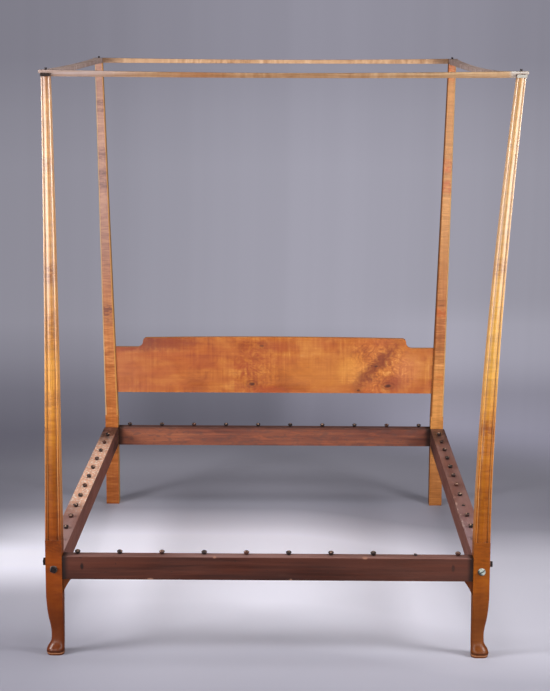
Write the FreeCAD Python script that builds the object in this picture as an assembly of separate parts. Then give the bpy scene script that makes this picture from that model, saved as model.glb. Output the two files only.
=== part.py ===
import FreeCAD, Part
import math
import os
from FreeCAD import Vector

# High post bed: four posts, four bolted rails with rope pegs, a headboard and a tester.
# Millimetres. X runs across the bed, Y from foot to head, Z up from the floor.

# Whole bed, between the post centres
bed_width = 1404
bed_length = 1880
post_height = 1898
rail_top = 341

# Posts
post_size = 54
foot_top_size = 29
head_top_size = 32
block_top = 395
leg_height = 200
foot_left_lean = -3
foot_right_lean = 88
head_left_lean = 35
head_right_lean = 36
foot_left_sway = -4
foot_lean_power = 1.65
head_lean_power = 1
bead_width_share = 0.38
bead_nose_share = 0.055
quirk_depth_share = 0.17
field_depth_share = 0.015
field_flat_share = 0.06
chamfer_share = 0.2
shaft_station_shares = (0, 0.2, 0.4, 0.6, 0.8, 1)
# Each leg station: its height in the leg, its width and its corner radius in post sizes
leg_station_shares = (
    (0.00, 1.02, 0.36),
    (0.04, 1.06, 0.40),
    (0.10, 1.05, 0.40),
    (0.14, 0.97, 0.38),
    (0.18, 0.87, 0.33),
    (0.23, 0.80, 0.28),
    (0.30, 0.77, 0.24),
    (0.40, 0.77, 0.20),
    (0.52, 0.82, 0.16),
    (0.65, 0.90, 0.12),
    (0.80, 0.96, 0.07),
    (1.00, 1.00, 0.03),
)

# Rails
rail_depth = 78
end_rail_width = 47
end_rail_setback = 2
side_rail_width = 60
end_rail_round = 4
side_rail_round = 5
tenon_thickness = 19
tenon_height = 52
tenon_end_wood = 1
joint_gap = 0.25

# Bed bolts, washers and nuts
bolt_diameter = 11
bolt_hole_gap = 0.5
bolt_tip = 8
end_bolt_share = 0.67
side_bolt_share = 0.43
washer_diameter = 25
washer_thickness = 2.5
head_width = 18
head_height = 8
head_turn = 20
nut_width = 18
nut_thickness = 9
nut_inset = 64
nut_gap = 0.4
thread_gap = 0.15

# Rope pegs, evenly spaced between a margin at each end of a rail
end_rail_pegs = 10
side_rail_pegs = 12
end_peg_margin = 48.35
side_peg_margin = 146.65
left_peg_shift = -14
right_peg_shift = 28
end_peg_offset = 10
peg_stem = 11
peg_head = 18.5
peg_height = 14
peg_depth = 13
peg_flare_share = 0.5
peg_shoulder_share = 0.68
stub_height = 5
stub_slope = 14
peg_gap = 0.15
foot_stubs = (8,)
right_stubs = (3,)

# Knee brackets
bracket_width = 29
bracket_height = 51
bracket_thickness = 40
bracket_hollow_share = 0.06

# Headboard
board_low = 494
board_shoulder = 691
board_crest_half = 549
board_crown = 5
board_thickness = 22
ogee_hollow = 25
ogee_round = 16
board_tenon_length = 13
board_tenon_thickness = 12
board_tenon_shoulder = 24

# Tester
tester_width = 32
tester_thickness = 20
tester_middle_thickness = 15
tester_overhang = 22
foot_sag = 8
head_sag = 6
left_sag = 5
right_sag = 17
lap_gap = 1
pin_diameter = 8
pin_depth = 40
pin_tip = 7
pin_gap = 1
pin_seat_gap = 0.1

# How far a cut runs past the face that it opens
overrun = 10

# A higher degree swings out between the stations of a loft
loft_degree = 3

# How far along each axis the middle of a quarter circle lies, in radii
diagonal_share = math.sqrt(0.5)

# The two sides and the two ends of the bed, as signs along X and Y
LEFT, RIGHT = -1, 1
FOOT, HEAD = -1, 1
UP = Vector(0, 0, 1)

# Sizes that follow from those above
post_half = post_size / 2
rail_low = rail_top - rail_depth
tenon_length = post_half - tenon_thickness / 2 - tenon_end_wood
tenon_low = rail_low + (rail_depth - tenon_height) / 2
end_bolt_z = rail_low + rail_depth * end_bolt_share
side_bolt_z = rail_low + rail_depth * side_bolt_share
nut_start = post_size + nut_inset
bolt_reach = nut_start + nut_thickness + bolt_tip
leans = {
    (FOOT, LEFT): foot_left_lean,
    (FOOT, RIGHT): foot_right_lean,
    (HEAD, LEFT): head_left_lean,
    (HEAD, RIGHT): head_right_lean,
}
# The tester's far corners reach unevenly, so this brings the whole to its middle
middle_x = (foot_right_lean - head_left_lean) / 2


def cuboid(xs, ys, zs):
    """A box between two values on each axis, in either order."""
    low = Vector(min(xs), min(ys), min(zs))
    size = Vector(max(xs), max(ys), max(zs)) - low
    return Part.makeBox(size.x, size.y, size.z, low)


def about(middle, width):
    """The two ends of a width about its middle."""
    return (middle - width / 2, middle + width / 2)


def prism(edges, along):
    """A closed flat outline, pushed along a vector."""
    return Part.Face(Part.Wire(edges)).extrude(along)


def line(start, end):
    return Part.LineSegment(start, end).toShape()


def arc(start, middle, end):
    return Part.Arc(start, middle, end).toShape()


def rolled(start, corner, end):
    """A curve that leaves its start towards a corner and comes to its end from there."""
    curve = Part.BezierCurve()
    curve.setPoles([start, corner, end])
    return curve.toShape()


def bow(start, middle, end):
    """A gentle curve through a middle point, which may also lie straight between its ends."""
    return rolled(start, middle * 2 - (start + end) / 2, end)


def post_x(side):
    return side * bed_width / 2


def post_y(end):
    return end * bed_length / 2


def inner_x(side):
    """The face of a post's block that looks across the bed."""
    return post_x(side) - side * post_half


def inner_y(end):
    """The face of a post's block that looks along the bed."""
    return post_y(end) - end * post_half


def shaft_share(z):
    return (z - block_top) / (post_height - block_top)


def shaft_size(end, z):
    top_size = foot_top_size if end == FOOT else head_top_size
    return post_size + (top_size - post_size) * shaft_share(z)


def shaft_x(end, side, z):
    """The shaft's centre at a height: it leans outwards from the block up, and one shaft is bowed."""
    share = shaft_share(z)
    power = foot_lean_power if end == FOOT else head_lean_power
    sway = foot_left_sway if (end, side) == (FOOT, LEFT) else 0
    return side * (bed_width / 2 + leans[(end, side)] * share ** power + sway * math.sin(math.pi * share))


def top_of_post(end, side):
    return Vector(shaft_x(end, side, post_height), post_y(end), post_height)


# Posts

def moulded_section(size, centre):
    """A square with a round bead on each corner and a field with rolled edges between quirks."""
    half = size / 2
    nose = half * (1 - bead_nose_share)
    quirk = half * (1 - bead_width_share)
    sunk = half * (1 - quirk_depth_share)
    face = half * (1 - field_depth_share)
    flat = half * field_flat_share
    roll = (quirk + flat) / 2
    bead = [Vector(sunk, quirk, 0), Vector(nose, nose, 0), Vector(quirk, sunk, 0)]
    near_roll = [Vector(quirk, sunk, 0), Vector(roll, face, 0), Vector(flat, face, 0)]
    far_roll = [Vector(-flat, face, 0), Vector(-roll, face, 0), Vector(-quirk, sunk, 0)]
    edges = [arc(*bead), rolled(*near_roll), line(near_roll[-1], far_roll[0]), rolled(*far_roll)]
    wires = []
    for quarter in range(4):
        wire = Part.Wire(edges)
        wire.rotate(Vector(0, 0, 0), UP, 90 * quarter)
        wire.translate(centre)
        wires.append(wire)
    return Part.Wire(wires)


def chamfered_section(size, centre):
    """A square with its corners cut off."""
    half = size / 2
    flat = half * (1 - chamfer_share)
    points = []
    for quarter in range(4):
        turn = FreeCAD.Rotation(UP, 90 * quarter)
        points.append(centre + turn.multVec(Vector(half, flat, 0)))
        points.append(centre + turn.multVec(Vector(flat, half, 0)))
    return Part.makePolygon(points + points[:1])


def rounded_section(low, high, radius, z):
    """A square from low to high on X and Y with round corners."""
    middle = (low + high) / 2
    half = (high - low) / 2
    straight = half - radius
    bulge = straight + radius * diagonal_share
    edges = []
    for quarter in range(4):
        turn = FreeCAD.Rotation(UP, 90 * quarter)
        centre = Vector(middle, middle, z)
        start = centre + turn.multVec(Vector(half, straight, 0))
        corner = centre + turn.multVec(Vector(bulge, bulge, 0))
        end = centre + turn.multVec(Vector(straight, half, 0))
        following = centre + turn.multVec(Vector(-straight, half, 0))
        edges += [arc(start, corner, end), line(end, following)]
    return Part.Wire(edges)


def shaft(end, side):
    """The tapering part of a post, above its block."""
    wires = []
    section = moulded_section if end == FOOT else chamfered_section
    shares = shaft_station_shares if end == FOOT else (0, 1)
    for share in shares:
        z = block_top + (post_height - block_top) * share
        wires.append(section(shaft_size(end, z), Vector(shaft_x(end, side, z), post_y(end), z)))
    return Part.makeLoft(wires, True, end == HEAD, False, loft_degree)


def cabriole_leg(side):
    """A leg with a slim ankle and a pad foot, shaped on its two outer faces."""
    wires = []
    for height_share, width_share, radius_share in leg_station_shares:
        width = post_size * width_share
        wires.append(rounded_section(post_half - width, post_half, post_size * radius_share,
                                     leg_height * height_share))
    leg = Part.makeLoft(wires, True, False, False, loft_degree)
    if side == RIGHT:
        leg = leg.mirror(Vector(0, 0, 0), Vector(1, 0, 0))
    leg.translate(Vector(post_x(side), post_y(FOOT), 0))
    return leg


def post(end, side):
    """A post with the mortises and bores that its rails, board and pin need."""
    block_low = leg_height if end == FOOT else 0
    block = cuboid(about(post_x(side), post_size), about(post_y(end), post_size), (block_low, block_top))
    body = block.fuse(shaft(end, side))
    if end == FOOT:
        body = body.fuse(cabriole_leg(side))
    cuts = [end_tenon(end, side, joint_gap), side_tenon(end, side, joint_gap)]
    cuts += [bolt_bore(seat) for seat in bolt_seats(end, side)]
    cuts.append(tester_pin(end, side, pin_seat_gap))
    if end == HEAD:
        cuts.append(board_tenon(side, joint_gap))
    return body.cut(cuts).removeSplitter()


# Joints between the posts and the rails

def end_tenon(end, side, gap):
    """The stub tenon of a foot or head rail, or with a gap the mortise for it."""
    start = inner_x(side) - side * (overrun if gap else 0)
    tip = inner_x(side) + side * (tenon_length + gap)
    return cuboid((start, tip), about(post_y(end), tenon_thickness + 2 * gap),
                  (tenon_low - gap, tenon_low + tenon_height + gap))


def side_tenon(end, side, gap):
    """The stub tenon of a side rail, or with a gap the mortise for it."""
    start = inner_y(end) - end * (overrun if gap else 0)
    tip = inner_y(end) + end * (tenon_length + gap)
    return cuboid(about(post_x(side), tenon_thickness + 2 * gap), (start, tip),
                  (tenon_low - gap, tenon_low + tenon_height + gap))


def end_bolt_seat(end, side):
    """Where a bolt enters a post's outer face on its way into a foot or head rail."""
    base = Vector(post_x(side) + side * post_half, post_y(end), end_bolt_z)
    return FreeCAD.Placement(base, FreeCAD.Rotation(UP, Vector(-side, 0, 0)))


def side_bolt_seat(end, side):
    """Where a bolt enters a post's foot or head face on its way into a side rail."""
    base = Vector(post_x(side), post_y(end) + end * post_half, side_bolt_z)
    return FreeCAD.Placement(base, FreeCAD.Rotation(UP, Vector(0, -end, 0)))


def bolt_seats(end, side):
    return [end_bolt_seat(end, side), side_bolt_seat(end, side)]


def seated(shape, seat):
    """A shape made on the Z axis, moved to a bolt's seat."""
    shape.Placement = seat.multiply(shape.Placement)
    return shape


def bolt_bore(seat):
    """The hole for a bolt through its post and into its rail."""
    bore = Part.makeCylinder(bolt_diameter / 2 + bolt_hole_gap, overrun + bolt_reach + bolt_hole_gap,
                             Vector(0, 0, -overrun))
    return seated(bore, seat)


def head_prism(sides, width, height, base_z):
    """A square or six-sided prism, given its width across the flats."""
    inner = Part.makeCylinder(width, height, Vector(0, 0, base_z))
    for number in range(sides):
        flat = cuboid((width / 2, 2 * width), about(0, 4 * width), about(base_z + height / 2, 2 * height))
        flat.rotate(Vector(0, 0, 0), UP, 360 / sides * number)
        inner = inner.cut(flat)
    return inner


def bolt(seat, sides):
    """A bed bolt with a square or six-sided head."""
    shank = Part.makeCylinder(bolt_diameter / 2, washer_thickness + bolt_reach,
                              Vector(0, 0, -washer_thickness))
    head = head_prism(sides, head_width, head_height, -washer_thickness - head_height)
    head.rotate(Vector(0, 0, 0), UP, head_turn)
    return seated(shank.fuse(head).removeSplitter(), seat)


def washer(seat):
    base = Vector(0, 0, -washer_thickness)
    plate = Part.makeCylinder(washer_diameter / 2, washer_thickness, base)
    hole = Part.makeCylinder(bolt_diameter / 2 + thread_gap, washer_thickness, base)
    return seated(plate.cut(hole), seat)


def nut(seat):
    square = cuboid(about(0, nut_width), about(0, nut_width), (nut_start, nut_start + nut_thickness))
    hole = Part.makeCylinder(bolt_diameter / 2 + thread_gap, nut_thickness, Vector(0, 0, nut_start))
    return seated(square.cut(hole), seat)


def end_nut_pocket(end, side):
    """The pocket in a foot or head rail that holds a nut, open to the rail's underside."""
    start = post_x(side) + side * (post_half - nut_start)
    room = nut_width + 2 * nut_gap
    return cuboid((start, start - side * (nut_thickness + nut_gap)), about(post_y(end), room),
                  (rail_low - overrun, end_bolt_z + room / 2))


def side_nut_pocket(end, side):
    """The pocket in a side rail that holds a nut, open to the rail's underside."""
    start = post_y(end) + end * (post_half - nut_start)
    room = nut_width + 2 * nut_gap
    return cuboid(about(post_x(side), room), (start, start - end * (nut_thickness + nut_gap)),
                  (rail_low - overrun, side_bolt_z + room / 2))


# Rails

def end_rail_faces(end):
    """The outer and the inner face of a foot or head rail."""
    outer = post_y(end) + end * (post_half - end_rail_setback)
    return outer, outer - end * end_rail_width


def end_rail(end):
    """A foot or head rail, its upper edges rounded, with a tenon at each end."""
    outer, inner = end_rail_faces(end)
    low_y, high_y = min(outer, inner), max(outer, inner)
    start = inner_x(LEFT)
    radius = end_rail_round
    slack = radius * (1 - diagonal_share)
    corners = [
        Vector(start, low_y, rail_low),
        Vector(start, low_y, rail_top - radius),
        Vector(start, low_y + radius, rail_top),
        Vector(start, high_y - radius, rail_top),
        Vector(start, high_y, rail_top - radius),
        Vector(start, high_y, rail_low),
    ]
    edges = [
        line(corners[0], corners[1]),
        arc(corners[1], Vector(start, low_y + slack, rail_top - slack), corners[2]),
        line(corners[2], corners[3]),
        arc(corners[3], Vector(start, high_y - slack, rail_top - slack), corners[4]),
        line(corners[4], corners[5]),
        line(corners[5], corners[0]),
    ]
    rail = prism(edges, Vector(inner_x(RIGHT) - start, 0, 0))
    rail = rail.fuse([end_tenon(end, LEFT, 0), end_tenon(end, RIGHT, 0)])
    cuts = [peg_hole(place) for place in end_peg_places(end)]
    for side in (LEFT, RIGHT):
        cuts.append(bolt_bore(end_bolt_seat(end, side)))
        cuts.append(end_nut_pocket(end, side))
    return rail.cut(cuts).removeSplitter()


def side_rail(side):
    """A side rail, its outer upper edge rounded, with a tenon at each end."""
    inner = inner_x(side)
    outer = inner + side * side_rail_width
    start = inner_y(FOOT)
    slack = side_rail_round * (1 - diagonal_share)
    corners = [
        Vector(inner, start, rail_low),
        Vector(inner, start, rail_top),
        Vector(outer - side * side_rail_round, start, rail_top),
        Vector(outer, start, rail_top - side_rail_round),
        Vector(outer, start, rail_low),
    ]
    edges = [
        line(corners[0], corners[1]),
        line(corners[1], corners[2]),
        arc(corners[2], Vector(outer - side * slack, start, rail_top - slack), corners[3]),
        line(corners[3], corners[4]),
        line(corners[4], corners[0]),
    ]
    rail = prism(edges, Vector(0, inner_y(HEAD) - start, 0))
    rail = rail.fuse([side_tenon(FOOT, side, 0), side_tenon(HEAD, side, 0)])
    cuts = [peg_hole(place) for place in side_peg_places(side)]
    for end in (FOOT, HEAD):
        cuts.append(bolt_bore(side_bolt_seat(end, side)))
        cuts.append(side_nut_pocket(end, side))
    return rail.cut(cuts).removeSplitter()


# Rope pegs

def row_offsets(count, length):
    """Evenly spaced offsets about zero, over a length."""
    pitch = length / (count - 1)
    return [pitch * (number - (count - 1) / 2) for number in range(count)]


def end_peg_places(end):
    outer, inner = end_rail_faces(end)
    y = (outer + inner) / 2 + end_peg_offset
    length = inner_x(RIGHT) - inner_x(LEFT) - 2 * end_peg_margin
    return [Vector(offset, y, rail_top) for offset in row_offsets(end_rail_pegs, length)]


def side_peg_places(side):
    shift = left_peg_shift if side == LEFT else right_peg_shift
    length = inner_y(HEAD) - inner_y(FOOT) - 2 * side_peg_margin
    return [Vector(post_x(side), offset + shift, rail_top) for offset in row_offsets(side_rail_pegs, length)]


def peg_hole(place):
    return Part.makeCylinder(peg_stem / 2 + peg_gap, peg_depth + overrun, place - Vector(0, 0, peg_depth))


def whole_peg(place):
    """A turned peg: a stem that flares to a domed head."""
    stem = peg_stem / 2
    head = peg_head / 2
    flare_z = peg_height * peg_flare_share
    shoulder_z = peg_height * peg_shoulder_share
    foot = Vector(0, 0, -peg_depth)
    crown = Vector(0, 0, peg_height)
    shoulder = Vector(head, 0, shoulder_z)
    cap = peg_height - shoulder_z
    ball = (head ** 2 + cap ** 2) / (2 * cap)
    half_way = math.asin(head / ball) / 2
    dome = Vector(ball * math.sin(half_way), 0, peg_height - ball + ball * math.cos(half_way))
    edges = [
        line(foot, Vector(stem, 0, -peg_depth)),
        line(Vector(stem, 0, -peg_depth), Vector(stem, 0, 0)),
        line(Vector(stem, 0, 0), Vector(head, 0, flare_z)),
        line(Vector(head, 0, flare_z), shoulder),
        arc(shoulder, dome, crown),
        line(crown, foot),
    ]
    peg = Part.Face(Part.Wire(edges)).revolve(Vector(0, 0, 0), UP, 360)
    peg.translate(place)
    return peg


def peg_stub(place):
    """What is left of a broken peg: its stem, broken off aslant."""
    stem = Part.makeCylinder(peg_stem / 2, peg_depth + 2 * stub_height, Vector(0, 0, -peg_depth))
    off = cuboid(about(0, 2 * peg_head), about(0, 2 * peg_head), (0, peg_height))
    off.rotate(Vector(0, 0, 0), Vector(0, 1, 0), stub_slope)
    off.translate(Vector(0, 0, stub_height))
    stub = stem.cut(off)
    stub.translate(place)
    return stub


def pegs(places, stubs):
    made = []
    for number, place in enumerate(places):
        made.append(peg_stub(place) if number in stubs else whole_peg(place))
    return Part.makeCompound(made)


# Knee brackets

def knee_bracket(side):
    """A small bracket under the foot rail, against a foot post."""
    y_low, y_high = about(post_y(FOOT), bracket_thickness)
    corner = Vector(inner_x(side), y_low, rail_low)
    tip = corner - Vector(side * bracket_width, 0, 0)
    toe = corner - Vector(0, 0, bracket_height)
    hollow = (tip + toe) / 2 + (corner - (tip + toe) / 2) * bracket_hollow_share
    edges = [line(corner, tip), bow(tip, hollow, toe), line(toe, corner)]
    return prism(edges, Vector(0, y_high - y_low, 0))


# Headboard

def board_edge(side, z):
    """Where the headboard meets a head post's leaning inner face."""
    return shaft_x(HEAD, side, z) - side * shaft_size(HEAD, z) / 2


def board_tenon(side, gap):
    """The headboard's tenon, or with a gap the mortise for it."""
    low = board_low + board_tenon_shoulder - gap
    high = board_shoulder - board_tenon_shoulder + gap
    y_low, y_high = about(post_y(HEAD), board_tenon_thickness + 2 * gap)
    back = overrun if gap else joint_gap
    reach = board_tenon_length + gap
    corners = [
        Vector(board_edge(side, low) - side * back, y_low, low),
        Vector(board_edge(side, low) + side * reach, y_low, low),
        Vector(board_edge(side, high) + side * reach, y_low, high),
        Vector(board_edge(side, high) - side * back, y_low, high),
    ]
    edges = [line(corners[number - 1], corners[number]) for number in range(4)]
    return prism(edges, Vector(0, y_high - y_low, 0))


def board_end(side, y):
    """One end of the headboard's outline, from its lower corner up to its crest."""
    low = Vector(board_edge(side, board_low) - side * joint_gap, y, board_low)
    shoulder = Vector(board_edge(side, board_shoulder) - side * joint_gap, y, board_shoulder)
    waist_x = board_crest_half + ogee_round
    waist_z = board_shoulder + ogee_hollow
    hollow_start = Vector(side * (waist_x + ogee_hollow), y, board_shoulder)
    hollow_x = waist_x + ogee_hollow * (1 - diagonal_share)
    hollow_middle = Vector(side * hollow_x, y, waist_z - ogee_hollow * diagonal_share)
    waist = Vector(side * waist_x, y, waist_z)
    round_x = board_crest_half + ogee_round * diagonal_share
    round_middle = Vector(side * round_x, y, waist_z + ogee_round * diagonal_share)
    crest = Vector(side * board_crest_half, y, waist_z + ogee_round)
    edges = [
        line(low, shoulder),
        line(shoulder, hollow_start),
        arc(hollow_start, hollow_middle, waist),
        arc(waist, round_middle, crest),
    ]
    return edges, low, crest


def headboard():
    y = post_y(HEAD) - board_thickness / 2
    left_edges, left_low, left_crest = board_end(LEFT, y)
    right_edges, right_low, right_crest = board_end(RIGHT, y)
    crown = Vector(0, y, left_crest.z + board_crown)
    edges = left_edges + [bow(left_crest, crown, right_crest)]
    edges += right_edges[::-1] + [line(right_low, left_low)]
    board = prism(Part.__sortEdges__(edges), Vector(0, board_thickness, 0))
    return board.fuse([board_tenon(LEFT, 0), board_tenon(RIGHT, 0)]).removeSplitter()


# Tester

def tester_bar(start, finish, sag):
    """A bar over two post tops, thinner in the middle, where it also hangs a little."""
    span = (finish - start).Length
    straight = tester_width / 2 + lap_gap
    thinning = tester_thickness - tester_middle_thickness
    y = -tester_width / 2

    def low(x, drop):
        return Vector(x, y, -drop)

    def high(x, drop):
        return Vector(x, y, tester_thickness - drop)

    first, last = -tester_overhang, span + tester_overhang
    edges = [
        line(low(first, 0), low(straight, 0)),
        bow(low(straight, 0), low(span / 2, sag - thinning), low(span - straight, 0)),
        line(low(span - straight, 0), low(last, 0)),
        line(low(last, 0), high(last, 0)),
        line(high(last, 0), high(span - straight, 0)),
        bow(high(span - straight, 0), high(span / 2, sag), high(straight, 0)),
        line(high(straight, 0), high(first, 0)),
        line(high(first, 0), low(first, 0)),
    ]
    bar = prism(edges, Vector(0, tester_width, 0))
    bar.Placement = FreeCAD.Placement(start, FreeCAD.Rotation(Vector(1, 0, 0), finish - start))
    return bar


def lap_height():
    return post_height + tester_thickness / 2


def tester_end_rail(end, sag):
    """A foot or head tester rail: its ends are the upper halves of the corner laps."""
    bar = tester_bar(top_of_post(end, LEFT), top_of_post(end, RIGHT), sag)
    cuts = []
    for side in (LEFT, RIGHT):
        pin_x = top_of_post(end, side).x
        inside = pin_x - side * (tester_width / 2 + lap_gap)
        outside = pin_x + side * (tester_overhang + overrun)
        cuts.append(cuboid((inside, outside), about(post_y(end), 2 * tester_width),
                           (post_height - overrun, lap_height())))
        cuts.append(tester_pin(end, side, pin_gap))
    return bar.cut(cuts)


def tester_side_rail(side, sag):
    """A tester side rail: its ends are the lower halves of the corner laps."""
    bar = tester_bar(top_of_post(FOOT, side), top_of_post(HEAD, side), sag)
    cuts = []
    for end in (FOOT, HEAD):
        inside = post_y(end) - end * (tester_width / 2 + lap_gap)
        outside = post_y(end) + end * (tester_overhang + overrun)
        cuts.append(cuboid(about(top_of_post(end, side).x, 4 * tester_width), (inside, outside),
                           (lap_height(), post_height + tester_thickness + overrun)))
        cuts.append(tester_pin(end, side, pin_gap))
    return bar.cut(cuts)


def tester_pin(end, side, gap):
    """The iron pin in a post's top, or with a gap the hole for it."""
    base = top_of_post(end, side) - Vector(0, 0, pin_depth)
    return Part.makeCylinder(pin_diameter / 2 + gap, pin_depth + tester_thickness + pin_tip, base)


def all_parts():
    """Every piece of the bed, by name."""
    parts = {
        "foot_rail": end_rail(FOOT),
        "head_rail": end_rail(HEAD),
        "side_rail_left": side_rail(LEFT),
        "side_rail_right": side_rail(RIGHT),
        "headboard": headboard(),
        "tester_foot_rail": tester_end_rail(FOOT, foot_sag),
        "tester_head_rail": tester_end_rail(HEAD, head_sag),
        "tester_side_rail_left": tester_side_rail(LEFT, left_sag),
        "tester_side_rail_right": tester_side_rail(RIGHT, right_sag),
        "foot_rail_pegs": pegs(end_peg_places(FOOT), foot_stubs),
        "head_rail_pegs": pegs(end_peg_places(HEAD), ()),
        "side_rail_pegs_left": pegs(side_peg_places(LEFT), ()),
        "side_rail_pegs_right": pegs(side_peg_places(RIGHT), right_stubs),
    }
    bright_seat = side_bolt_seat(FOOT, RIGHT)
    iron_seats = []
    for end_name, end in (("foot", FOOT), ("head", HEAD)):
        for side_name, side in (("left", LEFT), ("right", RIGHT)):
            parts[f"{end_name}_post_{side_name}"] = post(end, side)
            parts[f"tester_pin_{end_name}_{side_name}"] = tester_pin(end, side, 0)
            iron_seats += [seat for seat in bolt_seats(end, side) if seat != bright_seat]
    for side_name, side in (("left", LEFT), ("right", RIGHT)):
        parts[f"knee_bracket_{side_name}"] = knee_bracket(side)
    parts["bed_bolts"] = Part.makeCompound([bolt(seat, 4) for seat in iron_seats])
    parts["bolt_washers"] = Part.makeCompound([washer(seat) for seat in iron_seats])
    parts["bolt_nuts"] = Part.makeCompound([nut(seat) for seat in iron_seats + [bright_seat]])
    parts["replaced_bolt"] = bolt(bright_seat, 6)
    parts["replaced_washer"] = washer(bright_seat)
    return parts


os.makedirs("parts", exist_ok=True)
for name, shape in all_parts().items():
    shape.translate(Vector(-middle_x, 0, 0))
    shape.exportStep(f"parts/{name}.step")
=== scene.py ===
import math
from collections import namedtuple

import bmesh
import bpy
from mathutils import Matrix, Vector

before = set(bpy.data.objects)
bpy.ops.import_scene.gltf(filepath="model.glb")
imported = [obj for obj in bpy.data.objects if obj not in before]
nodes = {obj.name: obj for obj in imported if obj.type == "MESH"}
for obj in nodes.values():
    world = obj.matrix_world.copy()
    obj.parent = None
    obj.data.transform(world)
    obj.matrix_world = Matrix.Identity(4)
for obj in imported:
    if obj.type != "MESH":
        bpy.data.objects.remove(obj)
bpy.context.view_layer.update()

scene = bpy.context.scene
scene.view_settings.view_transform = "Standard"


# Camera: where the photograph was taken from, in metres and degrees

CAMERA_PLACE = Vector((0.0554, -6.5475, 2.0668))
CAMERA_PITCH = 10.35
CAMERA_YAW = -0.608
CAMERA_ROLL = 0.173
FOCAL_PIXELS = 1770.7
IMAGE_HEIGHT = 691
SENSOR = 36


def make_camera():
    pitch, yaw, roll = (math.radians(a) for a in (CAMERA_PITCH, CAMERA_YAW, CAMERA_ROLL))
    ahead = Vector((math.sin(yaw) * math.cos(pitch), math.cos(yaw) * math.cos(pitch), -math.sin(pitch)))
    level = Vector((math.cos(yaw), -math.sin(yaw), 0))
    upright = level.cross(ahead)
    right = math.cos(roll) * level + math.sin(roll) * upright
    up = math.cos(roll) * upright - math.sin(roll) * level
    data = bpy.data.cameras.new("camera")
    data.sensor_width = SENSOR
    data.lens = FOCAL_PIXELS * SENSOR / IMAGE_HEIGHT
    camera = bpy.data.objects.new("camera", data)
    turn = Matrix((right, up, -ahead)).transposed().to_4x4()
    camera.matrix_world = Matrix.Translation(CAMERA_PLACE) @ turn
    scene.collection.objects.link(camera)
    scene.camera = camera


# Colours

def tone(red, green, blue):
    """A colour as it shows on screen, from 0 to 255, made ready for a shader."""
    def linear(part):
        part /= 255
        return part / 12.92 if part <= 0.04045 else ((part + 0.055) / 1.055) ** 2.4
    return (linear(red), linear(green), linear(blue), 1)


def grey(level):
    """The cool grey of the studio's paper at a level from 0 to 255."""
    return tone(level - 2, level - 4, level + 9)


def shades(places, *colours):
    """The stops of a ramp: where each colour stands, and the colour."""
    return [(place, tone(*colour)) for place, colour in zip(places, colours)]


# Node trees

# A noise: its scale along each axis, its detail, its roughness and its distortion
Noise = namedtuple("Noise", "scale detail roughness distortion", defaults=(2, 0.5, 0))
# Patches: the noise that they follow and the band where they rise
Patches = namedtuple("Patches", "noise band")
# A colour strewn over a piece: the noise that it follows, the band where it rises, and the colour
Strewn = namedtuple("Strewn", "noise band colour")
# Rubbed edges: their width, the noise and band of the patches, their share and their colour
Wear = namedtuple("Wear", "width noise band share colour")
# Dirt and painted shade in the corners: how far they reach out of them, the band where they rise, and their
# colour
DirtAndShade = namedtuple("DirtAndShade", "reach band colour")

MIX_FIRST = 6
MIX_SECOND = 7
MIX_RESULT = 2
NODE_SAMPLES = 4
EDGE_TURN = (0.02, 0.2)
EDGE_RADIUS = 0.0016
SPOT_OUTLINE = Noise((60, 60, 60), 3)


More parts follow.
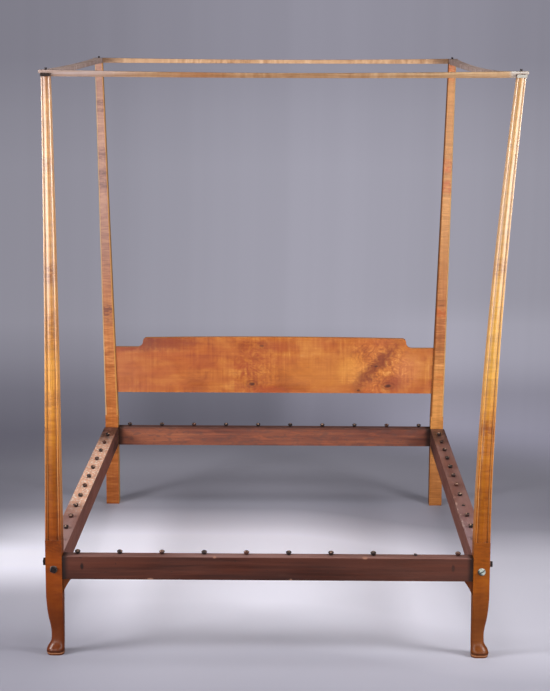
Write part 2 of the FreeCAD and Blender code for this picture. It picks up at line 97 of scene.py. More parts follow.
class Graph:
    """A material's node tree, put together in few words."""

    def __init__(self, name):
        self.material = bpy.data.materials.new(name)
        self.material.use_nodes = True
        self.tree = self.material.node_tree
        self.tree.nodes.clear()
        self.place = self.add("TexCoord").outputs["Object"]
        self.normal = self.add("NewGeometry").outputs["Normal"]
        self.x, self.y, self.z = self.parts(self.place)
        self.facing_x, self.facing_y, self.facing_z = self.parts(self.normal)

    def add(self, kind, **settings):
        node = self.tree.nodes.new("ShaderNode" + kind)
        for key, value in settings.items():
            setattr(node, key, value)
        return node

    def put(self, socket, value):
        if isinstance(value, bpy.types.NodeSocket):
            self.tree.links.new(value, socket)
        else:
            socket.default_value = value

    def fill(self, node, **values):
        """Puts values into a node's sockets by their names, with an underscore for each space."""
        for name, value in values.items():
            self.put(node.inputs[name.replace("_", " ")], value)

    def math(self, operation, *values, clamp=False):
        node = self.add("Math", operation=operation, use_clamp=clamp)
        for socket, value in zip(node.inputs, values):
            self.put(socket, value)
        return node.outputs[0]

    def times(self, first, *others):
        for other in others:
            first = self.math("MULTIPLY", first, other)
        return first

    def minus(self, first, second):
        return self.math("SUBTRACT", first, second)

    def away(self, value, place):
        """How far a number lies from a place, to either side."""
        return self.math("ABSOLUTE", self.minus(value, place))

    def about(self, value, *layers):
        """A number with layers of noise about it, each with its share."""
        for layer, share in layers:
            value = self.math("MULTIPLY_ADD", self.minus(layer, 0.5), share, value)
        return value

    def vector(self, operation, *values):
        node = self.add("VectorMath", operation=operation)
        for socket, value in zip(node.inputs, values):
            self.put(socket, value)
        return node.outputs["Value" if operation in ("LENGTH", "DOT_PRODUCT") else "Vector"]

    def parts(self, vector):
        node = self.add("SeparateXYZ")
        self.put(node.inputs[0], vector)
        return list(node.outputs)

    def joined(self, x, y, z):
        node = self.add("CombineXYZ")
        for socket, value in zip(node.inputs, (x, y, z)):
            self.put(socket, value)
        return node.outputs[0]

    def noise(self, vector, noise):
        """Noise from 0 to 1, with its own scale along each axis."""
        node = self.add("TexNoise")
        scaled = self.vector("MULTIPLY", vector, noise.scale)
        self.fill(node, Vector=scaled, Scale=1, Detail=noise.detail, Roughness=noise.roughness,
                  Distortion=noise.distortion)
        return node.outputs["Fac"]

    def noise_line(self, value, scale, detail):
        """Noise along one number."""
        node = self.add("TexNoise", noise_dimensions="1D")
        self.fill(node, W=value, Scale=scale, Detail=detail)
        return node.outputs["Fac"]

    def band(self, value, low, high, to_low=0, to_high=1):
        """Rises smoothly from to_low to to_high as a value goes from low to high."""
        node = self.add("MapRange", interpolation_type="SMOOTHSTEP")
        for socket, number in zip(node.inputs, (value, low, high, to_low, to_high)):
            self.put(socket, number)
        return node.outputs[0]

    def ramp(self, value, stops):
        node = self.add("ValToRGB")
        elements = node.color_ramp.elements
        while len(elements) < len(stops):
            elements.new(0.5)
        for element, (position, colour) in zip(elements, stops):
            element.position = position
            element.color = colour
        self.put(node.inputs[0], value)
        return node.outputs["Color"]

    def mix(self, share, first, second, blend="MIX"):
        node = self.add("Mix", data_type="RGBA", blend_type=blend)
        self.put(node.inputs["Factor"], share)
        self.put(node.inputs[MIX_FIRST], first)
        self.put(node.inputs[MIX_SECOND], second)
        return node.outputs[MIX_RESULT]

    def spot(self, centre, size, softness, waver):
        """One inside an ellipsoid about a place, fading to nothing at its ragged surface."""
        shares = self.vector("DIVIDE", self.vector("SUBTRACT", self.place, centre), size)
        distance = self.vector("LENGTH", shares)
        distance = self.about(distance, (self.noise(self.place, SPOT_OUTLINE), waver))
        return self.band(distance, 1 - softness, 1, 1, 0)

    def edges(self, width):
        """One near a sharp edge, nothing on a flat face."""
        bevel = self.add("Bevel", samples=NODE_SAMPLES)
        self.fill(bevel, Radius=width)
        likeness = self.vector("DOT_PRODUCT", bevel.outputs[0], self.normal)
        return self.band(self.minus(1, likeness), *EDGE_TURN)

    def patches(self, vector, kind):
        return self.band(self.noise(vector, kind.noise), *kind.band)

    def tint(self, colour, value, band, level):
        """Mixes in a colour as a value goes through a band. The band and the colour make a tint."""
        return self.mix(self.band(value, *band), colour, level)

    def strew(self, colour, vector, strewn, *masks):
        """Strews a colour, only where the masks let it."""
        return self.mix(self.times(self.patches(vector, strewn), *masks), colour, strewn.colour)

    def rub(self, colour, vector, wear):
        share = self.times(self.edges(wear.width), self.patches(vector, wear), wear.share)
        return self.mix(share, colour, wear.colour)

    def corners(self, dirt_and_shade):
        """The share of the dirt and painted shade: most deep in a corner, nothing in the open."""
        shelter = self.add("AmbientOcclusion", samples=NODE_SAMPLES)
        self.fill(shelter, Distance=dirt_and_shade.reach)
        return self.band(self.math("SUBTRACT", 1, shelter.outputs["AO"], clamp=True), *dirt_and_shade.band)

    def finish(self, colour, roughness, height, depth, **others):
        """Joins the shader: colour, roughness, a bump of some depth and the other sockets."""
        shader = self.add("BsdfPrincipled")
        self.fill(shader, Base_Color=colour, Roughness=roughness, **others)
        soft = self.add("Bevel", samples=NODE_SAMPLES)
        self.fill(soft, Radius=EDGE_RADIUS)
        bump = self.add("Bump")
        self.fill(bump, Distance=depth, Height=height, Normal=soft.outputs[0])
        self.fill(shader, Normal=bump.outputs[0])
        self.fill(self.add("OutputMaterial"), Surface=shader.outputs[0])
        return self.material


# Places on the bed, in metres

BED_MIDDLE = -0.0265
FOOT_RAIL_FRONT = -0.965
BOARD_FRONT = 0.929
RAIL_TOP_EDGE = 0.341
RAIL_LOW_EDGE = 0.264
RAIL_HALF_LENGTH = 0.675
LEFT = -1
RIGHT = 1


# Wood

AXES = {"X": (0, 1, 2), "Y": (1, 0, 2), "Z": (2, 0, 1)}
WANDER = Noise((1.3, 4, 4))
SWAY = 0.03
# Pale colour of the maple's edges: bare wood where the varnish is worn, and a painted highlight
BARE_WOOD_AND_HIGHLIGHT = tone(226, 172, 116)
# The dark colour in the corners of the maple and the board: dirt and painted shade
DIRT_AND_SHADE_COLOUR = tone(92, 40, 14)


def grain_space(graph, along, seed):
    """The place on a board: first along its grain, then across it twice, with a slow wander."""
    axes = graph.parts(graph.vector("ADD", graph.place, seed))
    lengthwise, first, second = (axes[number] for number in AXES[along])
    wander = graph.noise(graph.joined(lengthwise, first, second), WANDER)
    sway = graph.times(graph.minus(wander, 0.5), SWAY)
    return graph.joined(lengthwise, graph.math("ADD", first, sway), graph.minus(second, sway))


# Maple of the posts, brackets and tester

# A varnish: its weight, how strongly it bends light, and the shine and the roughness of the wood under it
Coat = namedtuple("Coat", "weight bend shine rough")
FOOT_COAT = Coat(1, 1.67, 0.5, 0.3)
HEAD_COAT = Coat(0.75, 1.5, 0.5, 0.3)
TESTER_COAT = Coat(0.4, 1.5, 0.4, 0.42)
DRY_COAT = Coat(0, 1.5, 0.1, 0.75)
COAT_ROUGHNESS = 0.2
# Varnish and shine are thinner low on the posts: the heights between which they grow, and the share left
COAT_HEIGHTS = (0.5, 1.05)
COAT_LEFT_SHARE = 0.12
SHINE_HEIGHTS = (0.35, 1.0)
SHINE_LEFT_SHARE = 0.55
INNER_COAT_BAND = (-0.6, -0.15, 0.35, 1)

MAPLE_VALUE = 0.56
MAPLE_SLOW = Noise((1.6, 9, 9), 3)
MAPLE_FIBRES = Noise((7, 420, 420), 4, 0.6)
MAPLE_STREAKS = Noise((2.2, 85, 85), 3, 0.55, 0.3)
SLOW_SHARE, STREAK_SHARE, FIBRE_SHARE = 0.5, 0.24, 0.22
BAR_ACROSS = 9
FINE_BARS_PER_BAR = 2.6
FINE_BAR_ACROSS = 30
FINE_BAR_SHARE = 0.8
BAR_PATCHES = Patches(Noise((3.2, 6, 6)), (0.3, 0.56, 0.25, 1))
MAPLE_CONTRAST = (0.15, 0.95, 0.8, 1.17)
MAPLE_FLECKS = Strewn(Noise((38, 520, 520)), (0.66, 0.78, 0, 0.3), tone(84, 36, 12))
# The maple's edges paler, partly worn and partly a painted highlight
MAPLE_WEAR_AND_HIGHLIGHT = Wear(0.003, Noise((12, 40, 40), 3), (0.4, 0.7), 0.2, BARE_WOOD_AND_HIGHLIGHT)
# Dirt and painted shade in the maple's corners and in the quirks of its mouldings
MAPLE_DIRT_AND_SHADE = DirtAndShade(0.007, (0.2, 0.6, 0, 0.72), DIRT_AND_SHADE_COLOUR)
POST_DIRT_AND_SHADE_RISE = (0.45, 1.0, 0.4, 1)
MAPLE_POLISH = Noise((9, 30, 30), 3)
POLISH_BAND = (0.3, 0.7)
POLISH_SPREAD = 0.1
MAPLE_RELIEF_SHARE = 0.3
WOOD_RELIEF = 0.0006

FLAMES = Patches(Noise((90, 26, 26), 2, 0.5, 1.6), (0.42, 0.58, 0.3, 1))
FIGURE_OUTLINE = Noise((20, 30, 30))
FIGURE_WAVER = 0.03
FIGURE_CORE_SHARE = 0.3


def curl_figure(graph, grain, pitch, curl_share):
    """How light the wood is, with its fibres and the bars across its grain."""
    slow = graph.noise(grain, MAPLE_SLOW)
    fibres = graph.noise(grain, MAPLE_FIBRES)
    streaks = graph.noise(grain, MAPLE_STREAKS)
    bars = graph.noise(grain, Noise((1 / pitch, BAR_ACROSS, BAR_ACROSS), 1, 0.4, 0.8))
    fine_scale = (FINE_BARS_PER_BAR / pitch, FINE_BAR_ACROSS, FINE_BAR_ACROSS)
    fine_bars = graph.noise(grain, Noise(fine_scale, 1, 0.4, 0.6))
    patches = graph.patches(grain, BAR_PATCHES)
    bars = graph.times(graph.about(0, (bars, 1), (fine_bars, FINE_BAR_SHARE)), patches)
    value = graph.about(MAPLE_VALUE, (slow, SLOW_SHARE), (streaks, STREAK_SHARE), (fibres, FIBRE_SHARE))
    return graph.math("MULTIPLY_ADD", bars, curl_share, value), fibres, bars


def draw_figures(graph, grain, lengthwise, colour, figures):
    """Flames of darker wood about some places along the grain."""
    flames = graph.patches(grain, FLAMES)
    ragged = graph.about(lengthwise, (graph.noise(grain, FIGURE_OUTLINE), FIGURE_WAVER))
    for place, reach, strength, figure in figures:
        shade = graph.band(graph.away(ragged, place), FIGURE_CORE_SHARE * reach, reach, strength, 0)
        colour = graph.mix(graph.times(flames, shade), colour, figure)
    return colour


def maple(name, along, seed, stops, curl, coat, figures=(), tints=(), marks=None, outer=0):
    """Figured maple under old varnish.

    curl holds the pitch of the bars across the grain and their share. marks adds a piece's own marks.
    outer is LEFT or RIGHT where that side keeps more varnish than the other.
    """
    graph = Graph(name)
    upright = along == "Z"
    lengthwise = (graph.x, graph.y, graph.z)[AXES[along][0]]
    grain = grain_space(graph, along, seed)
    value, fibres, bars = curl_figure(graph, grain, *curl)
    colour = graph.ramp(value, stops)
    for start, full, tint, share in tints:
        colour = graph.mix(graph.band(lengthwise, start, full, 0, share), colour, tint)
    if figures:
        colour = draw_figures(graph, grain, lengthwise, colour, figures)
    contrast = graph.band(value, *MAPLE_CONTRAST)
    colour = graph.mix(1, colour, graph.joined(contrast, contrast, contrast), "MULTIPLY")
    if marks:
        colour = marks(graph, colour)
    colour = graph.strew(colour, grain, MAPLE_FLECKS)
    colour = graph.rub(colour, grain, MAPLE_WEAR_AND_HIGHLIGHT)
    # Dirt and painted shade in the corners, weaker low on the posts
    dirt_and_shade = graph.corners(MAPLE_DIRT_AND_SHADE)
    weight, bend, shine, rough = coat
    if upright:
        dirt_and_shade = graph.times(dirt_and_shade, graph.band(lengthwise, *POST_DIRT_AND_SHADE_RISE))
        weight = graph.band(lengthwise, *COAT_HEIGHTS, weight * COAT_LEFT_SHARE, weight)
        weight = graph.times(weight, graph.minus(1, dirt_and_shade))
        shine = graph.band(lengthwise, *SHINE_HEIGHTS, SHINE_LEFT_SHARE * shine, shine)
    if outer:
        outward = graph.times(graph.facing_x, outer)
        weight = graph.times(weight, graph.band(outward, *INNER_COAT_BAND))
    colour = graph.mix(dirt_and_shade, colour, MAPLE_DIRT_AND_SHADE.colour)
    roughness = graph.band(graph.noise(grain, MAPLE_POLISH), *POLISH_BAND, rough, rough + POLISH_SPREAD)
    relief = graph.math("ADD", graph.times(fibres, MAPLE_RELIEF_SHARE), graph.times(bars, MAPLE_RELIEF_SHARE))
    return graph.finish(colour, roughness, relief, WOOD_RELIEF, Specular_IOR_Level=shine,
                        Coat_Weight=weight, Coat_IOR=bend, Coat_Roughness=COAT_ROUGHNESS)


# Colours of the maple, from its darkest to its palest figure

MAPLE_PLACES = (0.05, 0.30, 0.55, 0.80, 0.98)
TESTER_PLACES = (0.05, 0.35, 0.65, 0.95)
FOOT_STOPS = shades(MAPLE_PLACES, (104, 44, 2), (154, 80, 8), (190, 114, 18), (210, 142, 34), (226, 168, 62))
HEAD_STOPS = shades(MAPLE_PLACES, (110, 48, 18), (148, 78, 36), (174, 102, 52),
                    (196, 132, 76), (216, 162, 110))
TESTER_STOPS = shades(TESTER_PLACES, (120, 70, 38), (164, 114, 74), (192, 150, 112), (214, 182, 150))
# The tester's side rails: the same maple made darker and greyer, as painted shade
TESTER_SIDE_SHADED_STOPS = shades(TESTER_PLACES, (104, 82, 76), (148, 122, 114), (174, 152, 144), (198, 180, 172))
# Bars across the grain: their pitch and their share
FOOT_LEFT_CURL = (0.021, 0.6)
FOOT_RIGHT_CURL = (0.019, 0.5)
HEAD_CURL = (0.013, 0.75)
BRACKET_CURL = (0.02, 0.5)
TESTER_CURL = (0.03, 0.5)

# Figure in the posts: how high it lies, how far it reaches, how strong it is, and its colour
DARK = tone(122, 46, 6)
RED = tone(182, 84, 26)
MAUVE = tone(104, 52, 42)
DEEP = tone(66, 24, 4)
FOOT_LEFT_FIGURES = (
    (1.62, 0.04, 0.5, DARK),
    (1.275, 0.05, 0.65, DARK),
    (1.1, 0.1, 0.5, DARK),
    (0.86, 0.05, 0.4, DARK),
    (0.6, 0.1, 0.25, DEEP),
    (0.38, 0.05, 0.5, DEEP),
    (0.22, 0.05, 0.15, DEEP),
)
FOOT_RIGHT_FIGURES = (
    (1.3, 0.04, 0.5, DARK),
    (0.772, 0.05, 0.6, DARK),
    (0.52, 0.08, 0.25, DEEP),
    (0.36, 0.07, 0.3, DEEP),
    (0.2, 0.05, 0.15, DEEP),
)
HEAD_LEFT_FIGURES = (
    (1.735, 0.018, 0.9, MAUVE),
    (1.70, 0.016, 0.8, MAUVE),
    (1.52, 0.035, 0.9, MAUVE),
    (1.437, 0.028, 0.95, MAUVE),
    (1.39, 0.018, 0.9, MAUVE),
    (0.84, 0.06, 0.8, MAUVE),
    (0.3, 0.05, 0.5, DARK),
)
HEAD_RIGHT_FIGURES = (
    (1.86, 0.05, 0.9, RED),
    (1.472, 0.045, 0.85, RED),
    (1.386, 0.035, 0.85, RED),
    (0.85, 0.03, 0.8, RED),
    (0.55, 0.05, 0.4, RED),
)

# Colours that come and go along the posts, partly painted light and shade: the heights where each starts and
# is full, the colour, the share
# On the foot posts, paler and greyer high up as painted light, and darker low down as painted shade
FOOT_LEFT_TINTS = (
    (0.75, 0.95, tone(246, 176, 78), 0.45),
    (1.05, 1.35, tone(190, 138, 92), 0.65),
    (0.9, 0.5, tone(128, 52, 0), 0.8),
    (0.5, 0.36, tone(124, 48, 0), 0.6),
    (0.28, 0.1, tone(72, 32, 18), 0.62),
    (1.82, 1.88, tone(120, 66, 52), 0.5),
)
FOOT_RIGHT_TINTS = (
    (0.75, 1.0, tone(228, 178, 74), 0.5),
    (1.1, 1.45, tone(190, 144, 96), 0.65),
    (0.9, 0.5, tone(142, 68, 4), 0.65),
    (0.5, 0.36, tone(142, 68, 10), 0.55),
    (0.28, 0.1, tone(84, 42, 20), 0.6),
)
HEAD_LEFT_TINTS = (
    (0.75, 1.2, tone(138, 100, 92), 0.62),
    (0.8, 0.5, tone(172, 92, 30), 0.55),
    (0.3, 0.1, tone(104, 44, 14), 0.45),
)
HEAD_RIGHT_TINTS = (
    (0.75, 1.25, tone(198, 142, 66), 0.45),
    (0.8, 0.5, tone(216, 152, 78), 0.5),
    (0.42, 0.1, tone(122, 58, 28), 0.5),
)
BRACKET_TINTS = (
    (0.4, 0.26, tone(84, 34, 16), 0.9),
)


# Marks on the posts

# Painted light on the sides of a foot post: the band of facing out with its share, the heights it starts and
# is full at, and its colour
FOOT_SIDE_LIGHT = (
    ((0.3, 0.75, 0, 0.55), (0.3, 0.6), tone(226, 170, 116)),
    ((0.3, 0.75, 0, 0.65), (0.8, 1.2), tone(238, 206, 182)),
    ((-0.3, -0.75, 0, 0.5), (0.3, 0.6), tone(208, 154, 104)),
)
LEDGE_FACING = (0.3, 0.7)
LEDGE_HEIGHTS = (0.3, 0.35, 0, 0.85)
LEDGE_COLOUR = tone(96, 44, 14)
# Lines about the pad foot, painted shade in the crease above the pad and a painted highlight on its rim:
# their height, the band beside it and their colour
PAD_SHADE_AND_HIGHLIGHT = (
    (0.0135, (0.0015, 0.005, 0.7, 0), tone(56, 24, 12)),
    (0.007, (0.0008, 0.0028, 0.55, 0), tone(206, 150, 112)),
)
# Painted shade along the sole, where the foot meets the floor
SOLE_SHADE = ((0.001, 0.004, 0.6, 0), tone(40, 20, 14))
# Which way the sides of a head post face, for their painted light and shade
HEAD_LEFT_FACING = (-0.8, -0.3, 0.75, 0)
HEAD_RIGHT_FACING = (0.3, 0.8, 0, 0.75)


def foot_marks(outer):
    """Painted light on the sides, painted shade in the crease about the pad foot, a painted highlight on the
    line under it, and painted shade along the sole.
    """
    def marks(graph, colour):
        outward = graph.times(graph.facing_x, outer)
        # Painted light on the sides that face out and in
        for facing, heights, level in FOOT_SIDE_LIGHT:
            pale_share = graph.times(graph.band(outward, *facing), graph.band(graph.z, *heights))
            colour = graph.mix(pale_share, colour, level)
        ledge = graph.times(graph.band(graph.facing_z, *LEDGE_FACING), graph.band(graph.z, *LEDGE_HEIGHTS))
        colour = graph.mix(ledge, colour, LEDGE_COLOUR)
        # Painted shade in the crease and a painted highlight on the rim of the pad
        for height, band, level in PAD_SHADE_AND_HIGHLIGHT:
            colour = graph.tint(colour, graph.away(graph.z, height), band, level)
        return graph.tint(colour, graph.z, *SOLE_SHADE)
    return marks


def head_marks(left, right):
    """The sides of a head post, each painted to a colour of its own, paler as painted light and darker as
    painted shade.
    """
    def marks(graph, colour):
        colour = graph.tint(colour, graph.facing_x, HEAD_LEFT_FACING, left)
        return graph.tint(colour, graph.facing_x, HEAD_RIGHT_FACING, right)
    return marks


# Marks on the tester

PIN_FACING = (0.5, 0.9)
PIN_ACROSS = (0.67, 0.7, 0, 0.85)
PIN_RUST = tone(70, 34, 28)
LAP_FACING = (0.6, 0.9)
LAP_SHARE = 0.92
TESTER_HEAD_ENDS = ((0.62, 0.7, 0, 0.6), tone(98, 66, 50))
BROWN_PLACE = -0.24
BROWN = ((0, 0.16, 0.6, 0), tone(170, 98, 48))
# Tints across the tester's foot rail, painted reflections of the lamps near its two ends
TESTER_FOOT_REFLECTIONS = (
    ((-0.66, -0.34, 0.85, 0), tone(178, 160, 160)),
    ((0.1, 0.6, 0, 0.35), tone(206, 176, 130)),
    ((0.722, 0.736, 0, 0.85), tone(198, 194, 190)),
)
TESTER_FOOT_STREAKS = Strewn(Noise((5, 160, 220), 3, 0.6, 0.4), (0.46, 0.62, 0, 0.5), tone(142, 100, 60))
TESTER_LOW_EDGE = ((1.9, 1.912, 0.45, 0), tone(128, 84, 46))


def lap_end_colour(level):
    """Ends of a tester side rail, where they lie in the laps, given a flat colour of their own."""
    def marks(graph, colour):
        facing = graph.band(graph.math("ABSOLUTE", graph.facing_y), *LAP_FACING)
        return graph.mix(graph.times(facing, LAP_SHARE), colour, level)
    return marks


def pin_stain(graph, colour):
    """Rust about the pins, on top of the tester's end rails."""
    up = graph.band(graph.facing_z, *PIN_FACING)
    out = graph.band(graph.math("ABSOLUTE", graph.x), *PIN_ACROSS)
    return graph.mix(graph.times(up, out), colour, PIN_RUST)


def tester_head_marks(graph, colour):
    """Brown ends on the tester's head rail."""
    out = graph.away(graph.x, BED_MIDDLE)
    return pin_stain(graph, graph.tint(colour, out, *TESTER_HEAD_ENDS))


def tester_foot_marks(graph, colour):
    """The tester's foot rail: pinkish at its left, brown beside that, pale gold and grey at its right, the
    pale ends painted reflections of the lamps.
    """
    colour = graph.tint(colour, graph.away(graph.x, BROWN_PLACE), *BROWN)
    # Painted reflections of the lamps
    for tint in TESTER_FOOT_REFLECTIONS:
        colour = graph.tint(colour, graph.x, *tint)
    colour = graph.strew(colour, graph.place, TESTER_FOOT_STREAKS)
    colour = graph.tint(colour, graph.z, *TESTER_LOW_EDGE)
    return pin_stain(graph, colour)


# Headboard

# A spot on the board's front: its place across and up, its half width and height, its softness and its waver
Spot = namedtuple("Spot", "across up wide high softness waver", defaults=(0.8, 0.6))
BOARD_STOPS = shades(MAPLE_PLACES, (108, 42, 10), (152, 72, 20), (182, 98, 32),
                     (202, 126, 50), (220, 156, 84))
BOARD_SEED = (1.4, 0.9, 2.2)
BOARD_SPOT_DEPTH = 0.4
BOARD_SWIRL = Spot(0.42, 0.60, 0.19, 0.2, 0.7, 0.5)
BOARD_CURLY = Spot(-0.11, 0.60, 0.16, 0.2, 0.8, 0.5)
BOARD_VALUE = 0.55
# Layers of the board's figure and their shares, apart from its fibres
BOARD_LAYERS = (
    (Noise((3.5, 8, 8), 3, 0.55, 0.4), 0.7),
    (Noise((11, 14, 16), 3, 0.6, 0.8), 0.7),
    (Noise((1.8, 48, 48), 3, 0.55, 0.5), 0.45),
)
BOARD_FIBRES = Noise((6, 300, 300), 4, 0.6)
BOARD_FIBRE_SHARE = 0.25
BOARD_BARS = Noise((90, 5, 5), 2, 0.5, 0.5)
BOARD_BAR_PATCHES = Patches(Noise((4, 6, 6)), (0.38, 0.6))
BOARD_BAR_SHARE = 0.6
BOARD_CURLS = Noise((24, 24, 30), 3, 0.6, 2.6)
SWIRL_STRENGTH = 2
BOARD_RED = Strewn(Noise((2.2, 9, 9), 2, 0.5, 0.3), (0.5, 0.72, 0, 0.4), tone(170, 72, 32))
BOARD_MOTTLES = Strewn(Noise((20, 20, 26), 3, 0.6, 1.2), (0.46, 0.62), tone(152, 58, 22))
MOTTLE_SHARE = 0.55
BOARD_LEFT = ((-0.72, -0.4, 0.4, 0), tone(164, 90, 54))
BOARD_STAINS = (
    # spot, share, colour
    (Spot(-0.48, 0.715, 0.18, 0.055), 0.8, tone(132, 48, 22)),
    (Spot(-0.575, 0.715, 0.08, 0.06), 0.7, tone(116, 40, 22)),
    (Spot(-0.66, 0.688, 0.1, 0.025), 0.8, tone(132, 48, 22)),
    (Spot(-0.05, 0.505, 0.14, 0.03), 0.5, tone(166, 66, 26)),
    (Spot(0.0, 0.695, 0.1, 0.04), 0.5, tone(158, 64, 28)),
    (Spot(0.49, 0.54, 0.07, 0.05), 0.75, tone(146, 58, 30)),
    (Spot(0.30, 0.60, 0.09, 0.09), 0.45, tone(218, 146, 56)),
    (Spot(0.55, 0.60, 0.09, 0.10), 0.3, tone(208, 124, 82)),
    (Spot(0.18, 0.58, 0.3, 0.12, 1, 0.3), 0.4, tone(208, 132, 52)),
)
SWIRL_GLOW = (0.07, 0.03, 0.01, 1)
# The dark streak across the swirl: its place, its slope and how it wavers
STREAK_ACROSS, STREAK_UP = 0.375, 0.575
STREAK_RUN, STREAK_RISE = 0.73, 0.68
STREAK_OUTLINE = Noise((30, 30, 30), 3)
STREAK_WAVER = 0.1
STREAK_BAND = (0, 0.04, 0.75, 0)
STREAK_COLOUR = tone(122, 48, 22)
# Painted light on the board's top face
BOARD_TOP_LIGHT = ((0.4, 0.8, 0, 0.7), tone(224, 146, 84))
BOARD_KNOTS = (
    # across, up, size, strength
    (-0.123, 0.532, 0.020, 0.8),
    (-0.080, 0.700, 0.018, 0.45),
    (0.463, 0.526, 0.022, 0.85),
    (0.410, 0.612, 0.016, 0.7),
    (0.335, 0.506, 0.012, 0.7),
)
KNOT_STRETCH = (0.75, 0.1, 1.2)
KNOT_OUTLINE = Noise((55, 55, 55))
KNOT_WAVER = 0.012
KNOT_RINGS = 9
KNOT_RING_SHARE = 0.25
KNOT_RING_REACH = (0.4, 1.8)
KNOT_RING_COLOUR = tone(118, 50, 24)
KNOT_CORE_REACH = (0.2, 0.6)
KNOT_CORE_COLOUR = tone(64, 26, 20)
BOARD_FLECKS = Strewn(Noise((30, 420, 420)), (0.66, 0.78, 0, 0.4), tone(96, 44, 18))
# The board's edges paler the same way, partly worn and partly a painted highlight
BOARD_WEAR_AND_HIGHLIGHT = MAPLE_WEAR_AND_HIGHLIGHT._replace(share=0.5)
# Dirt and painted shade in the board's corners
BOARD_DIRT_AND_SHADE = DirtAndShade(0.012, (0.35, 0.95, 0, 0.8), DIRT_AND_SHADE_COLOUR)
BOARD_ROUGHNESS = Patches(Noise((9, 30, 30), 3), (0.3, 0.7, 0.34, 0.46))
BOARD_FIBRE_RELIEF, BOARD_BAR_RELIEF = 0.4, 0.8
BOARD_COAT_WEIGHT = 0.6
BOARD_COAT_ROUGHNESS = 0.25


def board_spot(graph, spot):
    centre = (spot.across, BOARD_FRONT, spot.up)
    return graph.spot(centre, (spot.wide, BOARD_SPOT_DEPTH, spot.high), spot.softness, spot.waver)


def board_figure(graph, grain, swirl, curly):
    """How light the board is, with its fibres and the bars across its grain."""
    fibres = graph.noise(grain, BOARD_FIBRES)
    patches = graph.patches(grain, BOARD_BAR_PATCHES)
    bars = graph.times(graph.minus(graph.noise(grain, BOARD_BARS), 0.5), patches)
    layers = [(graph.noise(grain, noise), share) for noise, share in BOARD_LAYERS]
    value = graph.about(BOARD_VALUE, *layers, (fibres, BOARD_FIBRE_SHARE))
    value = graph.math("MULTIPLY_ADD", bars, BOARD_BAR_SHARE, value)
    stirred = graph.math("ADD", graph.times(swirl, SWIRL_STRENGTH), curly)
    return graph.about(value, (graph.noise(graph.place, BOARD_CURLS), stirred)), fibres, bars


def stain_board(graph, grain, colour, swirl, curly):
    """Stains, the swirl's glow and the dark streak across it."""
    colour = graph.strew(colour, grain, BOARD_RED)
    colour = graph.strew(colour, graph.place, BOARD_MOTTLES, curly, MOTTLE_SHARE)
    colour = graph.tint(colour, graph.x, *BOARD_LEFT)
    for spot, share, level in BOARD_STAINS:
        colour = graph.mix(graph.times(board_spot(graph, spot), share), colour, level)
    colour = graph.mix(swirl, colour, SWIRL_GLOW, "ADD")
    run = graph.times(graph.minus(graph.x, STREAK_ACROSS), STREAK_RUN)
    rise = graph.times(graph.minus(graph.z, STREAK_UP), STREAK_RISE)
    waver = graph.noise(graph.place, STREAK_OUTLINE)
    slant = graph.about(graph.minus(run, rise), (waver, STREAK_WAVER))
    streak = graph.times(graph.band(graph.math("ABSOLUTE", slant), *STREAK_BAND), swirl)
    return graph.mix(streak, colour, STREAK_COLOUR)


def draw_knots(graph, colour):
    for across, up, size, strength in BOARD_KNOTS:
        offset = graph.vector("SUBTRACT", graph.place, (across, BOARD_FRONT, up))
        reach = graph.vector("LENGTH", graph.vector("MULTIPLY", offset, KNOT_STRETCH))
        reach = graph.about(reach, (graph.noise(graph.place, KNOT_OUTLINE), KNOT_WAVER))
        reach = graph.math("DIVIDE", reach, size)
        wave = graph.math("SINE", graph.times(reach, KNOT_RINGS))
        rings = graph.math("MULTIPLY_ADD", wave, KNOT_RING_SHARE, 0.5)
        around = graph.band(reach, *KNOT_RING_REACH, strength, 0)
        colour = graph.mix(graph.times(around, rings), colour, KNOT_RING_COLOUR)
        colour = graph.mix(graph.band(reach, *KNOT_CORE_REACH, strength, 0), colour, KNOT_CORE_COLOUR)
    return colour


def board():
    """The headboard: one wide board with a knotty swirl near its right end."""
    graph = Graph("board_maple")
    grain = grain_space(graph, "X", BOARD_SEED)
    swirl = board_spot(graph, BOARD_SWIRL)
    curly = board_spot(graph, BOARD_CURLY)
    value, fibres, bars = board_figure(graph, grain, swirl, curly)
    colour = stain_board(graph, grain, graph.ramp(value, BOARD_STOPS), swirl, curly)
    colour = graph.tint(colour, graph.facing_z, *BOARD_TOP_LIGHT)
    colour = graph.strew(draw_knots(graph, colour), grain, BOARD_FLECKS)
    colour = graph.rub(colour, grain, BOARD_WEAR_AND_HIGHLIGHT)
    colour = graph.mix(graph.corners(BOARD_DIRT_AND_SHADE), colour, BOARD_DIRT_AND_SHADE.colour)
    roughness = graph.patches(grain, BOARD_ROUGHNESS)
    relief = graph.math("ADD", graph.times(fibres, BOARD_FIBRE_RELIEF), graph.times(bars, BOARD_BAR_RELIEF))
    return graph.finish(colour, roughness, relief, WOOD_RELIEF,
                        Coat_Weight=BOARD_COAT_WEIGHT, Coat_Roughness=BOARD_COAT_ROUGHNESS)


# Stained rails

